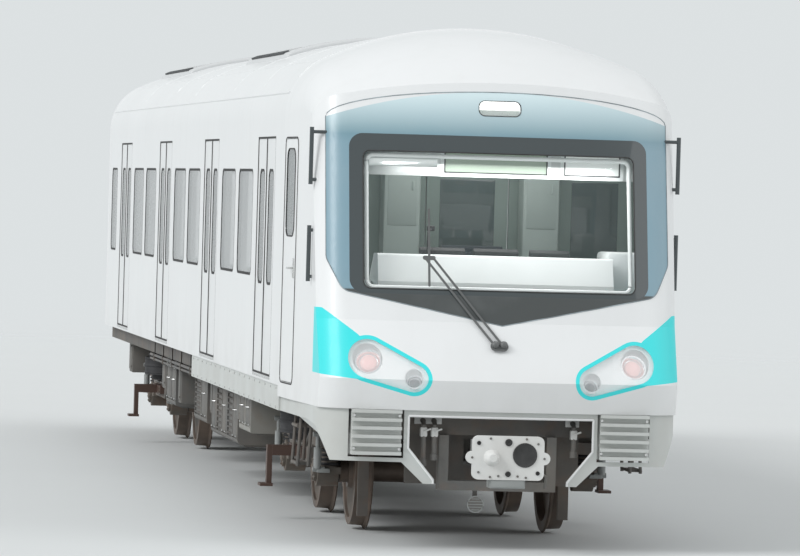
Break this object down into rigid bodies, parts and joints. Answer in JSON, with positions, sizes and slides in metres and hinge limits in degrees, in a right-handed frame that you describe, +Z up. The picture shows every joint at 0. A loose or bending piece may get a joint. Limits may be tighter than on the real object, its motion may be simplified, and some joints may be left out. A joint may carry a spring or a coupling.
{
  "type": "metro car",
  "caption": "Full-size leading cab car of a metro train with a raked glazed nose, plug doors, swivelling bogies, automatic coupler and gangway.",
  "frame": {"origin": "middle of the car's whole length and width, at the level the wheel flanges stand on (28 mm below rail top)", "axes": "-Y towards the nose, +Y towards the gangway end, +X to the right of someone facing the nose, +Z up"},
  "size_m": [2.8, 19.9, 3.868],
  "materials": {
    "body_white": "gloss",
    "door_white": "gloss",
    "mask_slate": "gloss",
    "border_black": "gloss",
    "windscreen_glass": "clear",
    "side_glass": "tinted",
    "lamp_turquoise": "gloss",
    "lamp_lens": "clear",
    "lamp_bowl": "gloss",
    "skirt_grey": "satin",
    "underframe_grey": "matt",
    "equipment_grey": "satin",
    "battery_pale": "satin",
    "reservoir_grey": "satin",
    "wheel_steel": "machined and rusted",
    "bogie_paint": "dusty",
    "axle_box_iron": "dusty",
    "brake_iron": "rough",
    "spring_rubber": "matt",
    "collector_brown": "matt",
    "coupler_white": "satin",
    "coupler_steel": "satin",
    "bellows_rubber": "matt",
    "unit_grey": "satin",
    "lining_white": "satin",
    "console_white": "satin",
    "display_panel": "gloss",
    "seat_shell": "satin",
    "driver_fabric": "woven",
    "pole_steel": "brushed",
    "wiper_black": "satin"
  },
  "bodies": {
    "carbody": {"air_reservoirs": "reservoir_grey", "anti_climbers": "skirt_grey", "auxiliary_converter": "equipment_grey", "battery_boxes": "battery_pale", "bolsters": "underframe_grey", "brake_control_case": "equipment_grey", "cab_partition": "lining_white", "cab_shell": "body_white", "ceiling": "lining_white", "compressor_unit": "equipment_grey", "console": "console_white", "corner_grips": "border_black", "coupler_cradle": "coupler_steel", "coupler_pockets": "underframe_grey", "display_header": "lining_white", "displays": "display_panel", "doors_left": "door_white", "doors_right": "door_white", "driver_seat": "driver_fabric", "end_wall": "body_white", "front_mask": "mask_slate", "front_valance": "skirt_grey", "gangway_bellows": "bellows_rubber", "grab_poles": "pole_steel", "headlamp_bowls": "lamp_bowl", "headlamp_lenses": "lamp_lens", "headlamp_surrounds": "lamp_turquoise", "hvac_units": "unit_grey", "marker_lamp": "lamp_lens", "roof": "body_white", "seats": "seat_shell", "side_glazing": "side_glass", "side_skirts": "skirt_grey", "side_wall_left": "body_white", "side_wall_right": "body_white", "underframe": "underframe_grey", "windscreen": "windscreen_glass", "windscreen_border": "border_black", "wiper": "wiper_black"},
    "bogie_front": {"bogie_frame_front": "bogie_paint", "air_springs_front": "spring_rubber", "axle_boxes_front": "axle_box_iron", "brake_units_front": "brake_iron", "collector_shoes_front": "collector_brown"},
    "bogie_rear": {"bogie_frame_rear": "bogie_paint", "air_springs_rear": "spring_rubber", "axle_boxes_rear": "axle_box_iron", "brake_units_rear": "brake_iron", "collector_shoes_rear": "collector_brown"},
    "axle_1": {"wheelset_1": "wheel_steel"},
    "axle_2": {"wheelset_2": "wheel_steel"},
    "axle_3": {"wheelset_3": "wheel_steel"},
    "axle_4": {"wheelset_4": "wheel_steel"},
    "coupler_arm": {"coupler": "coupler_white"},
    "drawbar_arm": {"drawbar": "coupler_steel"},
    "cab_leaf_left": {"cab_door_left": "body_white", "cab_door_glass_left": "side_glass"},
    "cab_leaf_right": {"cab_door_right": "body_white", "cab_door_glass_right": "side_glass"},
    "partition_leaf": {"partition_door": "lining_white"}
  },
  "joints": [
    {"name": "bogie_front_swivel", "type": "hinge", "parent": "carbody", "child": "bogie_front", "pos_m": [0, -6, 0.543], "axis": [0, 0, 1], "range_deg": [-4, 4]},
    {"name": "bogie_rear_swivel", "type": "hinge", "parent": "carbody", "child": "bogie_rear", "pos_m": [0, 6.6, 0.543], "axis": [0, 0, 1], "range_deg": [-4, 4]},
    {"name": "wheelset_1_spin", "type": "hinge", "parent": "bogie_front", "child": "axle_1", "pos_m": [0, -7.1, 0.448], "axis": [1, 0, 0], "continuous": true},
    {"name": "wheelset_2_spin", "type": "hinge", "parent": "bogie_front", "child": "axle_2", "pos_m": [0, -4.9, 0.448], "axis": [1, 0, 0], "continuous": true},
    {"name": "wheelset_3_spin", "type": "hinge", "parent": "bogie_rear", "child": "axle_3", "pos_m": [0, 5.5, 0.448], "axis": [1, 0, 0], "continuous": true},
    {"name": "wheelset_4_spin", "type": "hinge", "parent": "bogie_rear", "child": "axle_4", "pos_m": [0, 7.7, 0.448], "axis": [1, 0, 0], "continuous": true},
    {"name": "coupler_swing", "type": "hinge", "parent": "carbody", "child": "coupler_arm", "pos_m": [0, -8.6, 0.695], "axis": [0, 0, 1], "range_deg": [-15, 15]},
    {"name": "drawbar_swing", "type": "hinge", "parent": "carbody", "child": "drawbar_arm", "pos_m": [0, 9.05, 0.695], "axis": [0, 0, 1], "range_deg": [-10, 10]},
    {"name": "cab_door_left_hinge", "type": "hinge", "parent": "carbody", "child": "cab_leaf_left", "pos_m": [-1.33, -7.451, 2.028], "axis": [0, 0, 1], "range_deg": [0, 80]},
    {"name": "cab_door_right_hinge", "type": "hinge", "parent": "carbody", "child": "cab_leaf_right", "pos_m": [1.33, -7.451, 2.028], "axis": [0, 0, 1], "range_deg": [-80, 0]},
    {"name": "partition_door_hinge", "type": "hinge", "parent": "carbody", "child": "partition_leaf", "pos_m": [0.289, -7.307, 2.028], "axis": [0, 0, 1], "range_deg": [-85, 0]}
  ]
}
